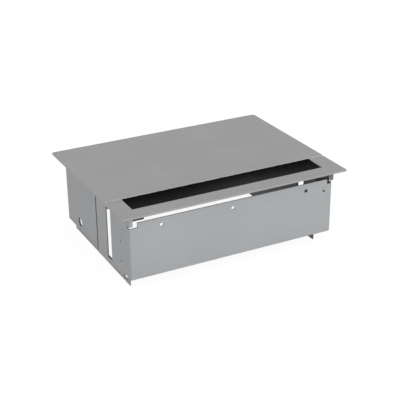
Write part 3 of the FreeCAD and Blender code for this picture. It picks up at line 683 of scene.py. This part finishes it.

# %% [markdown]
# ## Hollow rivets
# The sheets are joined by tubular rivets, painted over with the wall: a thin rolled rim with a bore. At
# picture size the bore is the dark dot that one sees, smaller on the left wall. A dark disc would stay flat
# from the side, so the profile goes up over the rim and down into a real bore, coloured dark as painted
# shade.

# %% Rivets
RIVET_HEAD = 0.5
RIVET_SHANK_RADIUS = 1.5
RIVET_SHOULDER = 0.42
RIVET_RIM = [(2, 0), (1.97, 0.2), (1.8, RIVET_SHOULDER), (1.55, RIVET_HEAD)]
MOUTH_WIDTH, MOUTH_HEIGHT = 0.12, 0.15
BORE_DEPTH = 1.6
BORE_MARGIN = 0.05
SMALL_BORE, LARGE_BORE = 0.85, 1.2
RIVET_KINDS = [
    ("left_rivets", (-1, 0, 0), SMALL_BORE),
    ("strap_rivets", (1, 0, 0), SMALL_BORE),
    ("partition_front_rivet", (0, -1, 0), LARGE_BORE),
    ("partition_rear_rivet", (0, 1, 0), LARGE_BORE),
    ("rail_rivets", (0, 1, 0), LARGE_BORE),
]


def rivet(shank, bore):
    """One tubular rivet with its rim on the sheet at height 0."""
    outside = [(0, -shank), (RIVET_SHANK_RADIUS, -shank), (RIVET_SHANK_RADIUS, 0)]
    mouth = [(bore + MOUTH_WIDTH, RIVET_SHOULDER), (bore, MOUTH_HEIGHT)]
    shape = turned(outside + RIVET_RIM + mouth + [(bore, -BORE_DEPTH), (0, -BORE_DEPTH)])
    # Faces inside the bore take the second finish, which is painted shade.
    for face in shape.faces:
        middle = face.calc_center_median() / MM
        inside = middle.xy.length < bore + BORE_MARGIN and middle.z > -BORE_DEPTH - BORE_MARGIN
        face.material_index = 1 if inside else 0
    return shape


rivets = bmesh.new()
for node, outwards, bore in RIVET_KINDS:
    for low, high in solids_of(node):
        place, shank = seat_of(low, high, outwards, RIVET_HEAD)
        add_copies(rivets, rivet(shank, bore), [place])
keep("hollow_rivets", rivets, [RIVET_PAINT, RIVET_BORE_SHADE], RIVET_NODES)

# %% [markdown]
# ## A screw with a hexagon recess
# The strip and the brush are held by small pan-head screws. The head is spun up to the rim of the recess,
# a six-sided loop with as many points is bridged to that rim, and the loop is extruded down and filled.
# A boolean would do it too, but bridging leaves clean faces that bevel and export well.

# %% Shape of a screw
RECESS_SHARE = 0.5
RECESS_DEPTH = 0.7
RECESS_RIM = 1.2
HEAD_ROUND, HEAD_SHOULDER = 0.5, 0.15
TIP_CHAMFER = 0.3


def hexagon_screw(head_radius, head, shank_radius, shank):
    """One pan-head screw, head up, with the underside of its head at height 0."""
    recess = head_radius * RECESS_SHARE
    point = [(0, -shank), (shank_radius - TIP_CHAMFER, -shank), (shank_radius, TIP_CHAMFER - shank)]
    pan = [(shank_radius, 0), (head_radius, 0), (head_radius, head - HEAD_ROUND),
           (head_radius - HEAD_SHOULDER, head - HEAD_SHOULDER), (head_radius - HEAD_ROUND, head)]
    shape = turned(point + pan + [(recess * RECESS_RIM, head)])
    rim = [edge for edge in shape.edges if edge.is_boundary]
    made = bmesh.ops.create_circle(shape, segments=6, radius=recess * MM,
                                   matrix=Matrix.Translation((0, 0, head * MM)))
    bmesh.ops.subdivide_edges(shape, edges=edges_at(made["verts"]), cuts=TURN_STEPS // 6 - 1)
    hexagon = [edge for edge in shape.edges if edge.is_wire]
    bmesh.ops.bridge_loops(shape, edges=rim + hexagon)
    walls = bmesh.ops.extrude_edge_only(shape, edges=hexagon)
    lower = [item for item in walls["geom"] if isinstance(item, bmesh.types.BMVert)]
    bmesh.ops.translate(shape, verts=lower, vec=(0, 0, -head * RECESS_DEPTH * MM))
    bmesh.ops.edgeloop_fill(shape, edges=[edge for edge in shape.edges if edge.is_boundary])
    bmesh.ops.recalc_face_normals(shape, faces=shape.faces)
    return shape


print("screw recess is", RECESS_SHARE, "of the head's width")

# %% [markdown]
# ## The screws of the strip and the brush
# The strip's screws go outwards through its end caps into the plates, so their heads point to the middle
# of the box. The brush is screwed on from below. Each screw takes its place and its length from the
# frame's own solid.

# %% Screws
STRIP_HEAD_RADIUS, STRIP_HEAD, STRIP_SHANK_RADIUS = 2.8, 2.0, 1.5
BRUSH_HEAD_RADIUS, BRUSH_HEAD, BRUSH_SHANK_RADIUS = 2.0, 1.2, 1.25

screws = bmesh.new()
for low, high in solids_of("strip_screws"):
    inwards = (1, 0, 0) if low.x < 0 else (-1, 0, 0)
    place, shank = seat_of(low, high, inwards, STRIP_HEAD)
    screw = hexagon_screw(STRIP_HEAD_RADIUS, STRIP_HEAD, STRIP_SHANK_RADIUS, shank)
    add_copies(screws, screw, [place])
for low, high in solids_of("brush_screws"):
    place, shank = seat_of(low, high, (0, 0, -1), BRUSH_HEAD)
    screw = hexagon_screw(BRUSH_HEAD_RADIUS, BRUSH_HEAD, BRUSH_SHANK_RADIUS, shank)
    add_copies(screws, screw, [place])
keep("hexagon_screws", screws, [ZINC], ["strip_screws", "brush_screws"])

# %% [markdown]
# ## Collars and contact rims of the sockets
# Each recessed socket has a raised collar round its well and a rim round each contact hole. They are
# moulded with the insert, so they could be cut into it, but the frame's piece stays as it is: the small
# forms are turned once, in the tilted frame of the strip, and copied into the four wells.

# %% Collars and contact rims
STRIP_MIDDLE = Vector((0, 70, 60)) * MM
STRIP_HALF_DEPTH = 19 * MM
STRIP_TILT = 20
COLLAR = [(19.45, 1.9), (19.55, 2.5), (20.1, 2.8), (21.5, 2.8), (22.1, 2.5), (22.3, 1.9)]
CONTACT_RIM = [(2.65, -15.6), (2.65, -15.2), (2.8, -15.0), (3.6, -15.0), (3.8, -15.2), (3.8, -15.6)]
CONTACT_REACH = 9.5

strip = (Matrix.Translation(STRIP_MIDDLE) @ Matrix.Rotation(math.radians(90 - STRIP_TILT), 4, "X")
         @ Matrix.Translation((0, 0, STRIP_HALF_DEPTH)))
wells = []
for node in SOCKET_NODES:
    low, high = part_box(node)
    wells.append(strip @ Matrix.Translation(((low[0] + high[0]) / 2, 0, 0)))
sides = [Matrix.Identity(4), Matrix.Rotation(math.pi, 4, "Z")]

collars = bmesh.new()
add_copies(collars, turned(COLLAR, closed=True), wells)
keep("socket_collars", collars, [SOCKET_PLASTIC])

contact_rims = bmesh.new()
across = Matrix.Translation((CONTACT_REACH * MM, 0, 0))
contacts = [well @ side @ across for well in wells for side in sides]
add_copies(contact_rims, turned(CONTACT_RIM, closed=True), contacts)
keep("contact_rims", contact_rims, [SOCKET_PLASTIC])

# %% [markdown]
# ## Guide ribs of the sockets
# Two ribs at the sides of a well guide the plug in. They are slim blocks with rounded edges: a cube is
# scaled to size, bevelled, and moved to its place in the well. The same block serves for the grip of the
# gland below.

# %% Guides
GUIDE_SIZE = Vector((1.9, 5.0, 14.5))
GUIDE_MIDDLE = Vector((18.55, 0, -8.25))
GUIDE_ROUND = 0.5


def rounded_block(size, middle, rounding):
    """A block with rounded edges, all measures in millimetres."""
    shape = bmesh.new()
    bmesh.ops.create_cube(shape, size=MM)
    bmesh.ops.scale(shape, verts=shape.verts, vec=size)
    bmesh.ops.bevel(shape, geom=shape.edges[:], offset=rounding * MM, affect="EDGES", segments=2,
                    profile=0.5, material=-1)
    bmesh.ops.translate(shape, verts=shape.verts, vec=middle * MM)
    return shape


guides = bmesh.new()
guide = rounded_block(GUIDE_SIZE, GUIDE_MIDDLE, GUIDE_ROUND)
add_copies(guides, guide, [well @ side for well in wells for side in sides])
keep("well_guides", guides, [SOCKET_PLASTIC])

# %% [markdown]
# ## Grip and seal of the cable gland
# The cap of a cable gland is turned by hand, so it has grip ribs round it, and a rubber seal shows at its
# end. One rounded rib is copied round the axis, and the seal is a turned ring.

# %% Details of the gland
GRIP_COUNT = 18
GRIP_SIZE = Vector((1.2, 1.2, 6.4))
GRIP_MIDDLE = Vector((9.0, 0, -4.2))
GRIP_ROUND = 0.3
SEAL = [(4.6, -0.2), (4.6, 0.2), (4.9, 0.5), (7.0, 0.5), (7.4, 0.2), (7.4, -0.2)]

gland_end = Vector((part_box("cable_gland")[1][0], STRIP_MIDDLE.y, STRIP_MIDDLE.z))
along = Matrix.Translation(gland_end) @ Matrix.Rotation(math.radians(90), 4, "Y")
turns = [Matrix.Rotation(math.tau * i / GRIP_COUNT, 4, "Z") for i in range(GRIP_COUNT)]
grips = bmesh.new()
grip = rounded_block(GRIP_SIZE, GRIP_MIDDLE, GRIP_ROUND)
add_copies(grips, grip, [along @ turn for turn in turns])
keep("gland_grips", grips, [CAP_PLASTIC])
seal = bmesh.new()
add_copies(seal, turned(SEAL, closed=True), [along])
keep("gland_seal", seal, [RUBBER])

# %% [markdown]
# ## The floor of the studio
# The picture has a white ground. The floor is a plain plane, far larger than the picture, so that no edge
# of it shows. It lies a hair below the box, because two faces in one plane would flicker. It belongs to
# the studio and not to the box.

# %% Floor
FLOOR_HALF = 6.0
FLOOR_DROP = 0.2 * MM

floor_mesh = bpy.data.meshes.new("studio_floor")
floor_shape = bmesh.new()
bmesh.ops.create_grid(floor_shape, x_segments=1, y_segments=1, size=FLOOR_HALF)
bmesh.ops.translate(floor_shape, verts=floor_shape.verts, vec=(0, 0, cad_low[2] - FLOOR_DROP))
floor_shape.to_mesh(floor_mesh)
floor_shape.free()
floor = bpy.data.objects.new("studio_floor", floor_mesh)
bpy.context.scene.collection.objects.link(floor)
print("floor at", round((cad_low[2] - FLOOR_DROP) / MM, 1), "mm")

# %% [markdown]
# ## A floor that looks white
# The camera sees the floor almost white through Light Path, while the box still gets the bounce of an
# ordinary pale floor and leaves a faint shadow on it. A brighter lamp would whiten the floor too, but it
# would bleach the paint with it.

# %% Finish of the floor
FLOOR_TONE = (0.8, 0.8, 0.8)
FLOOR_SHARE = 0.88
FLOOR_GLOW = 1.06


def seen_directly(tree):
    """1 for what the camera sees directly, in a mirror or through glass."""
    path = tree.nodes.new("ShaderNodeLightPath")
    total = path.outputs["Is Camera Ray"]
    for name in ("Is Glossy Ray", "Is Transmission Ray"):
        node = tree.nodes.new("ShaderNodeMath")
        node.operation = "MAXIMUM"
        tree.links.new(total, node.inputs[0])
        tree.links.new(path.outputs[name], node.inputs[1])
        total = node.outputs["Value"]
    return total


pale, pale_tree, pale_shader = new_material("pale_floor")
pale_shader.inputs["Base Color"].default_value = (*FLOOR_TONE, 1)
pale_shader.inputs["Roughness"].default_value = 0.9
pale_shader.inputs["Specular IOR Level"].default_value = 0.0
glow = pale_tree.nodes.new("ShaderNodeEmission")
glow.inputs["Strength"].default_value = FLOOR_GLOW
blend = pale_tree.nodes.new("ShaderNodeMixShader")
share = remap(pale_tree, seen_directly(pale_tree), 0, 1, 0, FLOOR_SHARE)
pale_tree.links.new(share, blend.inputs["Fac"])
pale_tree.links.new(pale_shader.outputs["BSDF"], blend.inputs[1])
pale_tree.links.new(glow.outputs["Emission"], blend.inputs[2])
output = next(node for node in pale_tree.nodes if node.type == "OUTPUT_MATERIAL")
pale_tree.links.new(blend.outputs["Shader"], output.inputs["Surface"])
floor_mesh.materials.append(pale)
print("floor finish:", pale.name)

# %% [markdown]
# ## The world
# A soft light from all sides fills the shadows. A picture of a studio could give it, but here an even
# colour is enough. The world is white only where the camera or a reflection sees it, because as a light
# it would flatten the faces.

# %% World
WORLD_LIGHT = 0.55

world = bpy.data.worlds.new("studio")
bpy.context.scene.world = world
world.use_nodes = True
world_tree = world.node_tree
world_tree.nodes.clear()
sky = world_tree.nodes.new("ShaderNodeBackground")
sky.inputs["Color"].default_value = (*WHITE, 1)
sky.inputs["Strength"].default_value = WORLD_LIGHT
backdrop = world_tree.nodes.new("ShaderNodeBackground")
backdrop.inputs["Color"].default_value = (*WHITE, 1)
backdrop.inputs["Strength"].default_value = 1.0
world_mix = world_tree.nodes.new("ShaderNodeMixShader")
world_output = world_tree.nodes.new("ShaderNodeOutputWorld")
world_tree.links.new(seen_directly(world_tree), world_mix.inputs["Fac"])
world_tree.links.new(sky.outputs["Background"], world_mix.inputs[1])
world_tree.links.new(backdrop.outputs["Background"], world_mix.inputs[2])
world_tree.links.new(world_mix.outputs["Shader"], world_output.inputs["Surface"])
print("world light", WORLD_LIGHT)

# %% [markdown]
# ## The lamps
# The light is even, but a little stronger from the front, so that the front wall is the lightest face and
# the left wall the darkest. Three large area lamps do that: the larger a lamp, the softer its shadow.

# %% Lamps
LAMPS = [
    ("key_lamp", (0.4, -2.3, 1.0), 1.6, 36),
    ("left_lamp", (-2.2, -0.3, 1.1), 1.6, 10),
    ("top_lamp", (0.3, 0.4, 2.4), 2.0, 9),
]


def soft_lamp(name, place, size, watts):
    """A square area lamp at a place in metres, aimed at the middle of the box."""
    data = bpy.data.lights.new(name, "AREA")
    data.energy = watts
    data.size = size
    lamp = bpy.data.objects.new(name, data)
    bpy.context.scene.collection.objects.link(lamp)
    lamp.location = place
    middle = (Vector(cad_low) + Vector(cad_high)) / 2
    lamp.rotation_euler = (middle - lamp.location).to_track_quat("-Z", "Y").to_euler()


for lamp_settings in LAMPS:
    soft_lamp(*lamp_settings)
bpy.context.scene.view_settings.view_transform = "Standard"
